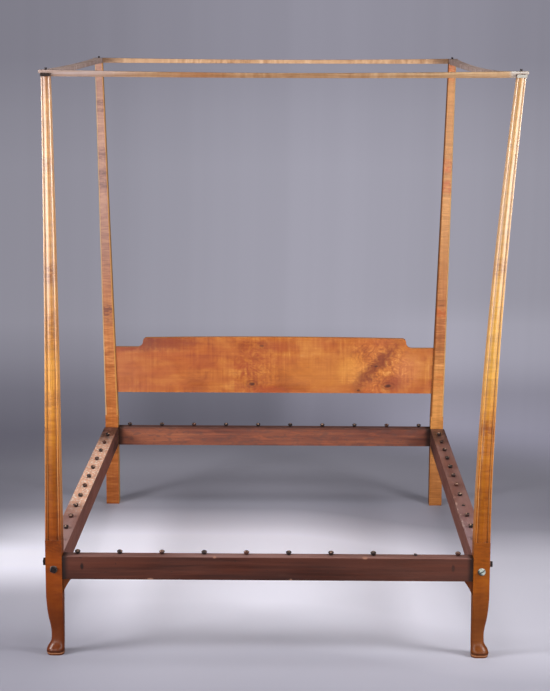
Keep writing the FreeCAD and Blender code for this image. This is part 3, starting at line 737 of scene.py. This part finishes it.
RAIL_VALUE = 0.5
RAIL_FIBRES = Noise((6, 360, 360), 4, 0.65)
RAIL_STREAKS = Noise((1.8, 60, 60), 4, 0.6, 0.4)
RAIL_SLOW = Noise((2.5, 10, 10), 3)
RAIL_STREAK_SHARE, RAIL_SLOW_SHARE, RAIL_FIBRE_SHARE = 0.9, 0.8, 0.4
RAIL_UP = (0.5, 0.9)
RAIL_DUST = Strewn(Noise((4, 22, 22), 3), (0.3, 0.7, 0.35, 0.8), tone(153, 117, 111))
RAIL_SCUFFS = Strewn(Noise((5, 240, 240), 2, 0.5, 0.2), (0.70, 0.78, 0, 0.45), tone(146, 98, 78))
RAIL_DENTS = Patches(Noise((60, 130, 130)), (0.7, 0.76, 0, 0.6))
DENT_COLOUR = tone(36, 18, 12)
RAIL_WEAR = Wear(0.004, Noise((9, 50, 50), 3), (0.4, 0.66), 0.65, tone(172, 112, 84))
# Dirt and painted shade in the rails' corners, near black
RAIL_DIRT_AND_SHADE = DirtAndShade(0.02, (0.3, 0.9, 0, 0.85), tone(22, 11, 8))
RAIL_ROUGHNESS = Patches(Noise((6, 30, 30), 3), (0.3, 0.7, 0.4, 0.56))
FIBRE_RELIEF, STREAK_RELIEF, DENT_RELIEF = 0.6, 0.5, -0.6
RAIL_RELIEF = 0.0008
RAIL_SHINE = 0.35
RAIL_COAT_WEIGHT = 0.08
RAIL_COAT_ROUGHNESS = 0.35
RAIL_PLACES = (0.1, 0.45, 0.75, 0.95)
HEAD_RAIL_PLACES = (0.1, 0.4, 0.7, 0.95)
FOOT_RAIL_STOPS = shades(RAIL_PLACES, (38, 14, 7), (66, 29, 18), (90, 43, 28), (116, 62, 42))
SIDE_RAIL_STOPS = shades(RAIL_PLACES, (66, 28, 16), (108, 56, 40), (134, 74, 54), (158, 94, 68))
HEAD_RAIL_STOPS = shades(HEAD_RAIL_PLACES, (70, 36, 28), (114, 62, 48), (150, 86, 58), (172, 106, 70))


def stained(name, along, seed, stops, marks):
    """A dark stained rail: streaky, scuffed, dusty on top and worn at its edges."""
    graph = Graph(name)
    grain = grain_space(graph, along, seed)
    fibres = graph.noise(grain, RAIL_FIBRES)
    streaks = graph.noise(grain, RAIL_STREAKS)
    slow = graph.noise(grain, RAIL_SLOW)
    value = graph.about(RAIL_VALUE, (streaks, RAIL_STREAK_SHARE), (slow, RAIL_SLOW_SHARE),
                        (fibres, RAIL_FIBRE_SHARE))
    colour = graph.ramp(value, stops)
    colour = graph.strew(colour, grain, RAIL_DUST, graph.band(graph.facing_z, *RAIL_UP))
    colour = graph.strew(colour, grain, RAIL_SCUFFS)
    dents = graph.patches(grain, RAIL_DENTS)
    colour = graph.rub(graph.mix(dents, colour, DENT_COLOUR), grain, RAIL_WEAR)
    colour = graph.mix(graph.corners(RAIL_DIRT_AND_SHADE), marks(graph, colour), RAIL_DIRT_AND_SHADE.colour)
    roughness = graph.patches(grain, RAIL_ROUGHNESS)
    relief = graph.about(0.5, (fibres, FIBRE_RELIEF), (streaks, STREAK_RELIEF), (dents, DENT_RELIEF))
    return graph.finish(colour, roughness, relief, RAIL_RELIEF, Specular_IOR_Level=RAIL_SHINE,
                        Coat_Weight=RAIL_COAT_WEIGHT, Coat_Roughness=RAIL_COAT_ROUGHNESS)


# Marks on the end rails

NICK_PLACES = (-0.636, 0.582)
NICK_HEIGHT = 0.307
NICK_SIZE = (0.007, 0.02, 0.017)
NICK_SOFTNESS, NICK_WAVER = 0.6, 0.5
NICK_SHARE = 0.85
NICK_COLOUR = tone(22, 12, 10)
CHIPS = (
    # across, up, half width
    (0.293, RAIL_TOP_EDGE, 0.012),
    (-0.411, RAIL_LOW_EDGE, 0.012),
    (0.05, RAIL_LOW_EDGE, 0.006),
    (-0.2, RAIL_TOP_EDGE, 0.007),
)
CHIP_DEPTH, CHIP_HEIGHT = 0.02, 0.006
CHIP_SOFTNESS, CHIP_WAVER = 0.5, 0.8
CHIP_SHARE = 0.5
CHIP_COLOUR = tone(190, 140, 116)
PALE_END = ((0.1, 0.5, 0, 0.18), tone(128, 80, 64))
# How far the dirt and painted shade at the posts reach along each end rail
FOOT_RAIL_END_SHADE, HEAD_RAIL_END_SHADE = 0.012, 0.016
END_DIRT_AND_SHADE_SHARE = 0.85
END_DIRT_AND_SHADE_COLOUR = tone(24, 12, 9)
HEAD_RAIL_MOTTLES = Strewn(Noise((30, 90, 90), 3, 0.6, 0.6), (0.5, 0.64, 0, 0.55), tone(92, 62, 56))
HEAD_RAIL_WARMTH = Strewn(Noise((9, 60, 60), 3, 0.6, 0.4), (0.54, 0.68, 0, 0.35), tone(176, 96, 62))
# Painted shade along the top of the head rail
HEAD_RAIL_TOP_SHADE = ((0.331, 0.337, 0, 0.6), tone(52, 28, 24))


def rail_ends(graph, colour, reach):
    """Dirt and painted shade where an end rail meets its posts."""
    start, full = RAIL_HALF_LENGTH - 2 * reach, RAIL_HALF_LENGTH - reach / 2
    end_darkening = graph.band(graph.away(graph.x, BED_MIDDLE), start, full, 0, END_DIRT_AND_SHADE_SHARE)
    return graph.mix(end_darkening, colour, END_DIRT_AND_SHADE_COLOUR)


def foot_rail_marks(graph, colour):
    """Two tally nicks, chips along the edges, a paler right third, and ends darkened with dirt and painted
    shade.
    """
    for across in NICK_PLACES:
        nick = graph.spot((across, FOOT_RAIL_FRONT, NICK_HEIGHT), NICK_SIZE, NICK_SOFTNESS, NICK_WAVER)
        colour = graph.mix(graph.times(nick, NICK_SHARE), colour, NICK_COLOUR)
    for across, up, wide in CHIPS:
        size = (wide, CHIP_DEPTH, CHIP_HEIGHT)
        chip = graph.spot((across, FOOT_RAIL_FRONT, up), size, CHIP_SOFTNESS, CHIP_WAVER)
        colour = graph.mix(graph.times(chip, CHIP_SHARE), colour, CHIP_COLOUR)
    colour = graph.tint(colour, graph.x, *PALE_END)
    return rail_ends(graph, colour, FOOT_RAIL_END_SHADE)


def head_rail_marks(graph, colour):
    """Mottles, a dark line of painted shade along the top, and ends darkened with dirt and painted shade."""
    colour = graph.strew(colour, graph.place, HEAD_RAIL_MOTTLES)
    colour = graph.strew(colour, graph.place, HEAD_RAIL_WARMTH)
    colour = graph.tint(colour, graph.z, *HEAD_RAIL_TOP_SHADE)
    return rail_ends(graph, colour, HEAD_RAIL_END_SHADE)


# Marks on the side rails

PALE_SIDES = ((0.6, 0.9, 0, 0.45), tone(136, 94, 84))
FAR_BLOTCHES = Strewn(Noise((50, 22, 50), 3, 0.6), (0.35, 0.6, 0.3, 0.85), tone(48, 30, 28))
FAR_ALONG = (0.55, 0.82)
# The pale patch on top of the left rail, partly rubbed and partly painted sheen, with white specks of painted
# glints
PATCH_ALONG = 0.16
PATCH_OUTLINE = Noise((8, 5, 8), 3)
PATCH_WAVER = 0.35
PATCH_BAND = (0.3, 0.7, 1, 0)
PATCH_FACING = (0.3, 0.8)
PATCH_STREAKS = Patches(Noise((90, 4, 90), 3), (0.3, 0.6, 0.7, 1))
PATCH_COLOUR = tone(240, 182, 152)
PATCH_GLINTS = Strewn(Noise((120, 60, 120)), (0.52, 0.62), tone(255, 236, 220))
LEFT_DUST = (-0.85, -0.3, 0.5, 0)
LEFT_DUST_COLOUR = tone(164, 136, 132)
SCUFF_PLACE = (0.651, -0.42, RAIL_TOP_EDGE)
SCUFF_SIZE = (0.008, 0.4, 0.02)
SCUFF_SOFTNESS, SCUFF_WAVER = 0.6, 0.8
SCUFF_SHARE = 0.7
SCUFFS = Strewn(Noise((90, 22, 90), 3), (0.48, 0.6), tone(204, 166, 150))
RIGHT_DUST = (-0.8, -0.2, 0.55, 0)
RIGHT_DUST_COLOUR = tone(142, 122, 130)
SCRATCHES = Strewn(Noise((120, 14, 120), 3, 0.6, 1.2), (0.56, 0.64, 0, 0.6), tone(214, 190, 180))


def far_end(graph, colour):
    """The paler sides of a side rail, and its dark, blotched head end."""
    colour = graph.tint(colour, graph.math("ABSOLUTE", graph.facing_x), *PALE_SIDES)
    return graph.strew(colour, graph.place, FAR_BLOTCHES, graph.band(graph.y, *FAR_ALONG))


def left_rail_marks(graph, colour):
    """The pale patch on the left side rail, partly rubbed and partly painted sheen, with specks of painted
    glints, and the dust near its foot end.
    """
    up = graph.band(graph.facing_z, *PATCH_FACING)
    colour = graph.mix(graph.times(up, graph.band(graph.y, *LEFT_DUST)), colour, LEFT_DUST_COLOUR)
    outline = (graph.noise(graph.place, PATCH_OUTLINE), PATCH_WAVER)
    pale_share = graph.band(graph.about(graph.away(graph.y, PATCH_ALONG), outline), *PATCH_BAND)
    streaks = graph.patches(graph.place, PATCH_STREAKS)
    pale = graph.strew(PATCH_COLOUR, graph.place, PATCH_GLINTS)
    return far_end(graph, graph.mix(graph.times(pale_share, up, streaks), colour, pale))


def right_rail_marks(graph, colour):
    """The scuffed inner edge of the right side rail, and the scratched dust near its foot end."""
    near = graph.spot(SCUFF_PLACE, SCUFF_SIZE, SCUFF_SOFTNESS, SCUFF_WAVER)
    colour = graph.strew(colour, graph.place, SCUFFS, near, SCUFF_SHARE)
    dusty = graph.times(graph.band(graph.facing_z, *RAIL_UP), graph.band(graph.y, *RIGHT_DUST))
    colour = graph.mix(dusty, colour, RIGHT_DUST_COLOUR)
    return far_end(graph, graph.strew(colour, graph.place, SCRATCHES, dusty))


# Metal and pegs

METAL_COARSE = Noise((180, 180, 180), 4, 0.6)
METAL_FINE = Noise((700, 700, 700), 3)
METAL_DIRT_BAND = (0.35, 0.65)
# The metal's bright edges: partly wear, partly a painted highlight
METAL_EDGE_WIDTH = 0.0015
METAL_EDGE_SHARE = 0.5
METAL_EDGE_WEAR_AND_HIGHLIGHT = tone(170, 164, 160)
# Dirt and painted shade in the metal's hollows
METAL_DIRT_AND_SHADE = DirtAndShade(0.006, (0.3, 0.9, 0, 0.7), tone(24, 20, 18))
METAL_FINE_SHARE = 0.5
METAL_RELIEF = 0.0006
# A metal: its clean and dirty colours, the share of dirt, its roughness from low to high, how metallic it is
Metal = namedtuple("Metal", "clean dirty dirt_share smooth rough metallic")
IRON = Metal(tone(46, 44, 48), tone(64, 48, 42), 0.5, 0.34, 0.5, 0.85)
WASHER_IRON = Metal(tone(126, 116, 112), tone(108, 82, 66), 0.6, 0.4, 0.6, 0.85)
STEEL = Metal(tone(222, 230, 220), tone(150, 162, 152), 0.4, 0.24, 0.4, 0.4)
# The bright bolt: its middle, the painted shade at the low left of its head, and the slot across it, drawn as
# a dark line of painted shade
BOLT_MIDDLE = (0.6772, 0, 0.2988)
BOLT_PLANE = (1, 0, 1)
BOLT_SHADE = ((-0.014, -0.003, 0.9, 0), tone(40, 42, 38))
SLOT_RUN, SLOT_RISE = 0.9, 0.42
SLOT_BAND = (0.0014, 0.0024, 0.9, 0)
SLOT_REACH = (0.009, 0.01, 1, 0)
SLOT_SHADE_COLOUR = tone(46, 52, 48)

PEG_FINE = Noise((300, 300, 120), 4, 0.6)
PEG_PLACES = (0.3, 0.6, 0.8)
PEG_STOPS = shades(PEG_PLACES, (26, 20, 20), (46, 36, 36), (78, 62, 58))
PEG_REDNESS = Strewn(Noise((9, 9, 9), 1), (0.5, 0.7, 0, 0.5), tone(104, 58, 44))
# Pale patches on top of the pegs' heads, partly chips and partly a painted highlight
PEG_CHIPS_AND_HIGHLIGHT = Strewn(Noise((130, 130, 130), 3), (0.5, 0.6, 0, 0.75), tone(188, 150, 128))
PEG_HIGHLIGHT_FACING = (0.2, 0.8)
PEG_ROUGHNESS = (0.3, 0.7, 0.32, 0.5)
PEG_RELIEF = 0.001


def draw_slot(graph, colour):
    """The slot in the bright bolt's head, a dark line of painted shade, and the painted shade at its low
    left.
    """
    offset = graph.vector("SUBTRACT", graph.place, BOLT_MIDDLE)
    x, _, z = graph.parts(offset)
    colour = graph.tint(colour, graph.math("ADD", x, z), *BOLT_SHADE)
    slant = graph.minus(graph.times(z, SLOT_RUN), graph.times(x, SLOT_RISE))
    ring = graph.vector("LENGTH", graph.vector("MULTIPLY", offset, BOLT_PLANE))
    slot = graph.times(graph.band(graph.math("ABSOLUTE", slant), *SLOT_BAND), graph.band(ring, *SLOT_REACH))
    return graph.mix(slot, colour, SLOT_SHADE_COLOUR)


def metal(name, kind, marks=None):
    """Old iron or plated steel, with dirt and painted shade in its hollows, and bright edges, partly wear and
    partly a painted highlight.
    """
    graph = Graph(name)
    coarse = graph.noise(graph.place, METAL_COARSE)
    fine = graph.noise(graph.place, METAL_FINE)
    colour = graph.mix(graph.band(coarse, *METAL_DIRT_BAND, 0, kind.dirt_share), kind.clean, kind.dirty)
    edges = graph.times(graph.edges(METAL_EDGE_WIDTH), METAL_EDGE_SHARE)
    colour = graph.mix(edges, colour, METAL_EDGE_WEAR_AND_HIGHLIGHT)
    if marks:
        colour = marks(graph, colour)
    colour = graph.mix(graph.corners(METAL_DIRT_AND_SHADE), colour, METAL_DIRT_AND_SHADE.colour)
    roughness = graph.band(coarse, *POLISH_BAND, kind.smooth, kind.rough)
    relief = graph.math("ADD", coarse, graph.times(fine, METAL_FINE_SHARE))
    return graph.finish(colour, roughness, relief, METAL_RELIEF, Metallic=kind.metallic)


def pegs():
    """Dark turned pegs, some redder, pale on their heads, partly chipped and partly with a painted highlight.
    """
    graph = Graph("peg_wood")
    fine = graph.noise(graph.place, PEG_FINE)
    colour = graph.strew(graph.ramp(fine, PEG_STOPS), graph.place, PEG_REDNESS)
    colour = graph.strew(colour, graph.place, PEG_CHIPS_AND_HIGHLIGHT, graph.band(graph.facing_z, *PEG_HIGHLIGHT_FACING))
    return graph.finish(colour, graph.band(fine, *PEG_ROUGHNESS), fine, PEG_RELIEF)


# Studio floor and backdrop, in metres

FLOOR_RADIUS = 12
FLOOR_RINGS = 12
WALL_RADIUS = 16
WALL_HEIGHT = 10
SWEEP_STEPS = 24
STUDIO_SIDES = 96
# The paper near the bed, a painted pool of light: how far along the bed, and its level of grey there
PAPER_START = -2
PAPER_LENGTH = 5
PAPER = (
    (-1.4, 162), (-0.9, 181), (-0.4, 243), (0.2, 254), (0.45, 248),
    (0.65, 206), (0.85, 163), (1.1, 154), (1.6, 162), (2.2, 155),
)
PAPER_SKEW = (0.0, 0.8, 0, 0.3)
PAPER_ROUGHNESS = Patches(Noise((1.5, 1.5, 1.5), 3), (0.3, 0.7, 0.65, 0.8))
# Painted shades on the paper: across the bed, along it nearer and farther, and their level of grey
SHADES = (
    ((-1.3, -0.7, 0.6, 0), (0.15, 0.45), (0.9, 1.5, 1, 0.6), 124),
    ((-1.0, -0.3, 0.7, 0), (-1.2, -0.8, 0.7, 1), (-0.4, 0.05, 1, 0), 120),
    ((0.1, 1.0, 0, 0.5), (-1.1, -0.6, 0.5, 1), (0.1, 0.6, 1, 0.4), 120),
)
MIRRORED_SHARE = 0.95
MIRRORED_LEVEL = 40
# The paper far off: how steeply it lies below the place of the photograph, and its level of grey there
FAR_DISTANCE = (1.7, 2.7)
LEAST_AHEAD = 2
SLOPE_RANGE = 0.24
# Its grey, painted light and shade, darkest low down behind the bed
BACKDROP = (
    (0.02, 148), (0.05, 158), (0.08, 164), (0.17, 165),
    (0.19, 152), (0.21, 132), (0.235, 116),
)
PLAIN_LEVEL = 138
# Painted light and shade on the far paper, by its slope and by how far aside it lies of the line ahead
FALL_MIDDLE = 0.03
FALL_BAND = (0.0, 0.2, 1, 0.74)
FOLD_SCALE, FOLD_DETAIL = 45, 2
FOLD_BAND = (0.3, 0.7, 0.98, 1.02)
# The painted shadow of the headboard on the far paper
BED_SHADE_MIDDLE = -0.042
BED_SHADE_BAND = (0.028, 0.06, 0.28, 0)
BED_SHADE_SLOPE = (0.195, 0.21)
GLOW_ASIDE = (0.02, 0.1)
GLOW_SLOPES = ((0.15, 0.2, 0, 0.36), (0.205, 0.24, 0, 0.6))
# Where the photograph looks: along the bed and aside
BEHIND_ALONG = (0.5, 1.5)
BEHIND_ASIDE = (0.24, 0.4, 1, 0)


def studio_mesh():
    """A round floor that sweeps up into a wall, out beyond every camera."""
    profile = [(FLOOR_RADIUS * number / FLOOR_RINGS, 0) for number in range(1, FLOOR_RINGS + 1)]
    sweep = WALL_RADIUS - FLOOR_RADIUS
    for number in range(1, SWEEP_STEPS + 1):
        angle = math.pi / 2 * number / SWEEP_STEPS
        profile.append((FLOOR_RADIUS + sweep * math.sin(angle), sweep * (1 - math.cos(angle))))
    profile.append((WALL_RADIUS, WALL_HEIGHT))
    turns = [2 * math.pi * number / STUDIO_SIDES for number in range(STUDIO_SIDES)]
    mesh = bmesh.new()
    rings = []
    for radius, height in profile:
        corners = ((radius * math.cos(turn), radius * math.sin(turn), height) for turn in turns)
        rings.append([mesh.verts.new(corner) for corner in corners])
    middle = mesh.verts.new((0, 0, 0))
    for number in range(STUDIO_SIDES):
        following = (number + 1) % STUDIO_SIDES
        mesh.faces.new((middle, rings[0][number], rings[0][following]))
        for inner, outer in zip(rings, rings[1:]):
            mesh.faces.new((inner[number], outer[number], outer[following], inner[following]))
    data = bpy.data.meshes.new("studio")
    mesh.to_mesh(data)
    mesh.free()
    for polygon in data.polygons:
        polygon.use_smooth = True
    return data


def near_paper(graph, path):
    """The paper about the bed: a painted pool of light, brightest under it, with painted shades, and dimmer
    where the varnish mirrors it.
    """
    along = graph.math("ADD", graph.y, graph.band(graph.x, *PAPER_SKEW))
    along = graph.math("DIVIDE", graph.minus(along, PAPER_START), PAPER_LENGTH)
    stops = [((place - PAPER_START) / PAPER_LENGTH, grey(level)) for place, level in PAPER]
    colour = graph.ramp(along, stops)
    for across, nearer, farther, level in SHADES:
        share = graph.times(graph.band(graph.y, *nearer), graph.band(graph.y, *farther))
        colour = graph.mix(graph.times(graph.band(graph.x, *across), share), colour, grey(level))
    mirrored = graph.times(path.outputs["Is Glossy Ray"], MIRRORED_SHARE)
    colour = graph.mix(mirrored, colour, grey(MIRRORED_LEVEL))
    paper = graph.add("BsdfPrincipled")
    graph.fill(paper, Base_Color=colour, Roughness=graph.patches(graph.place, PAPER_ROUGHNESS))
    return paper


def far_paper(graph):
    """The paper far off, which glows with its own colour, painted light and shade, whatever light reaches it.
    """
    ahead = graph.math("MAXIMUM", graph.minus(graph.y, CAMERA_PLACE.y), LEAST_AHEAD)
    slope = graph.math("DIVIDE", graph.minus(CAMERA_PLACE.z, graph.z), ahead)
    aside = graph.math("DIVIDE", graph.x, ahead)
    stops = [(place / SLOPE_RANGE, grey(level)) for place, level in BACKDROP]
    backdrop = graph.ramp(graph.math("DIVIDE", slope, SLOPE_RANGE), stops)
    fall = graph.band(graph.away(aside, FALL_MIDDLE), *FALL_BAND)
    folds = graph.band(graph.noise_line(aside, FOLD_SCALE, FOLD_DETAIL), *FOLD_BAND)
    shade = graph.band(graph.away(aside, BED_SHADE_MIDDLE), *BED_SHADE_BAND)
    shade = graph.times(shade, graph.band(slope, *BED_SHADE_SLOPE))
    first, second = (graph.band(slope, *band) for band in GLOW_SLOPES)
    glow = graph.times(graph.band(aside, *GLOW_ASIDE), graph.math("ADD", first, second))
    level = graph.math("ADD", graph.minus(1, shade), glow)
    level = graph.times(fall, folds, level)
    behind = graph.band(graph.math("ABSOLUTE", aside), *BEHIND_ASIDE)
    behind = graph.times(graph.band(graph.y, *BEHIND_ALONG), behind)
    far = graph.add("Emission")
    graph.fill(far, Color=graph.mix(behind, grey(PLAIN_LEVEL), backdrop),
               Strength=graph.math("MULTIPLY_ADD", behind, graph.minus(level, 1), 1))
    return far


def make_studio():
    data = studio_mesh()
    studio = bpy.data.objects.new("studio", data)
    scene.collection.objects.link(studio)
    graph = Graph("studio_paper")
    path = graph.add("LightPath")
    distance = graph.vector("LENGTH", graph.place)
    both = graph.add("MixShader")
    share = graph.times(path.outputs["Is Camera Ray"], graph.band(distance, *FAR_DISTANCE))
    graph.put(both.inputs[0], share)
    graph.put(both.inputs[1], near_paper(graph, path).outputs[0])
    graph.put(both.inputs[2], far_paper(graph).outputs[0])
    graph.fill(graph.add("OutputMaterial"), Surface=both.outputs[0])
    data.materials.append(graph.material)


# Light

LAMPS = (
    # name, place, aim, width and height, watts
    ("lamp_right", (2.55, -1.65, 1.85), (0.3, -0.3, 1.0), (0.8, 1.2), 56),
    ("lamp_left", (-2.75, -1.7, 1.85), (-0.3, -0.2, 0.9), (0.9, 1.2), 69),
    ("bank_left", (-2.3, -5.0, 1.175), (-0.3, 0, 1.175), (2.4, 1.45), 46),
    ("bank_right", (2.2, -5.0, 1.175), (0.3, 0, 1.175), (2.4, 1.45), 32),
    ("strip_left", (-2.6, -3.2, 1.3), (-0.7, -0.9, 1.3), (1.4, 1.3), 29),
    ("strip_right", (2.5, -3.2, 1.3), (0.7, -0.9, 1.3), (1.4, 1.3), 27),
    ("lamp_back", (0.2, 5.0, 3.2), (0, 0.5, 0.8), (3.0, 2.0), 50),
    ("lamp_top", (0, -0.3, 4.4), (0, -0.2, 0), (2.0, 2.0), 50),
)
UNMIRRORED_LAMPS = ("lamp_top", "lamp_back")
WORLD_COLOUR = (0.96, 0.97, 1.0, 1)
WORLD_STRENGTH = 0.07


def make_lights():
    for name, place, aim, size, watts in LAMPS:
        data = bpy.data.lights.new(name, "AREA")
        data.shape = "RECTANGLE"
        data.size, data.size_y = size
        data.energy = watts
        lamp = bpy.data.objects.new(name, data)
        lamp.location = place
        lamp.rotation_euler = (Vector(aim) - Vector(place)).to_track_quat("-Z", "Y").to_euler()
        lamp.visible_camera = False
        lamp.visible_glossy = name not in UNMIRRORED_LAMPS
        scene.collection.objects.link(lamp)
    world = bpy.data.worlds.new("studio_world")
    world.use_nodes = True
    background = world.node_tree.nodes["Background"]
    background.inputs["Color"].default_value = WORLD_COLOUR
    background.inputs["Strength"].default_value = WORLD_STRENGTH
    scene.world = world


# Dressing: a seed of its own moves each piece's grain

POSTS = (
    # node, seed, stops, curl, coat, figures, tints, marks, outer side
    ("foot_post_left", (0.3, 1.7, 0.2), FOOT_STOPS, FOOT_LEFT_CURL, FOOT_COAT,
     FOOT_LEFT_FIGURES, FOOT_LEFT_TINTS, foot_marks(LEFT), LEFT),
    ("foot_post_right", (2.1, 0.4, 1.9), FOOT_STOPS, FOOT_RIGHT_CURL, FOOT_COAT,
     FOOT_RIGHT_FIGURES, FOOT_RIGHT_TINTS, foot_marks(RIGHT), RIGHT),
    ("head_post_left", (3.7, 1.1, 4.6), HEAD_STOPS, HEAD_CURL, HEAD_COAT,
     HEAD_LEFT_FIGURES, HEAD_LEFT_TINTS, head_marks(tone(232, 190, 140), tone(226, 164, 92))),
    ("head_post_right", (5.2, 2.8, 3.3), HEAD_STOPS, HEAD_CURL, HEAD_COAT,
     HEAD_RIGHT_FIGURES, HEAD_RIGHT_TINTS, head_marks(tone(120, 62, 24), tone(236, 190, 130))),
)
BRACKET_SEED = (7.3, 3.9, 1.4)
RAILS = (
    # node, material, grain, seed, stops, marks
    ("foot_rail", "foot_rail_stain", "X", (0.7, 2.3, 0.9), FOOT_RAIL_STOPS, foot_rail_marks),
    ("head_rail", "head_rail_stain", "X", (3.1, 0.8, 1.7), HEAD_RAIL_STOPS, head_rail_marks),
    ("side_rail_left", "left_rail_stain", "Y", (1.9, 4.2, 2.6), SIDE_RAIL_STOPS, left_rail_marks),
    ("side_rail_right", "right_rail_stain", "Y", (4.4, 1.3, 3.8), SIDE_RAIL_STOPS, right_rail_marks),
)
TESTER_RAILS = (
    # node, material, grain, seed, stops, coat, marks
    ("tester_foot_rail", "tester_foot_maple", "X", (6.1, 0.2, 2.9), TESTER_STOPS, TESTER_COAT,
     tester_foot_marks),
    ("tester_head_rail", "tester_head_maple", "X", (2.5, 5.3, 0.6), TESTER_STOPS, TESTER_COAT,
     tester_head_marks),
    ("tester_side_rail_left", "tester_left_maple", "Y", (0.8, 6.6, 1.2), TESTER_SIDE_SHADED_STOPS, DRY_COAT,
     lap_end_colour(tone(14, 8, 8))),
    ("tester_side_rail_right", "tester_right_maple", "Y", (4.9, 3.5, 5.1), TESTER_SIDE_SHADED_STOPS, DRY_COAT,
     lap_end_colour(tone(186, 182, 172))),
)


def dress(material, *names):
    for name in names:
        slots = nodes[name].data.materials
        slots.clear()
        slots.append(material)


def dress_bed():
    for name, *looks in POSTS:
        dress(maple(name + "_maple", "Z", *looks), name)
    looks = (BRACKET_SEED, FOOT_STOPS, BRACKET_CURL, HEAD_COAT)
    dress(maple("bracket_maple", "Z", *looks, tints=BRACKET_TINTS), "knee_bracket_left", "knee_bracket_right")
    dress(board(), "headboard")
    for name, *looks in RAILS:
        dress(stained(*looks), name)
    for name, material, along, seed, stops, coat, marks in TESTER_RAILS:
        dress(maple(material, along, seed, stops, TESTER_CURL, coat, marks=marks), name)
    dress(pegs(), "foot_rail_pegs", "head_rail_pegs", "side_rail_pegs_left", "side_rail_pegs_right")
    dress(metal("iron", IRON), "bed_bolts", "bolt_nuts", "tester_pin_foot_left", "tester_pin_foot_right",
          "tester_pin_head_left", "tester_pin_head_right")
    dress(metal("washer_iron", WASHER_IRON), "bolt_washers")
    dress(metal("steel", STEEL, draw_slot), "replaced_bolt", "replaced_washer")


make_camera()
make_studio()
make_lights()
dress_bed()
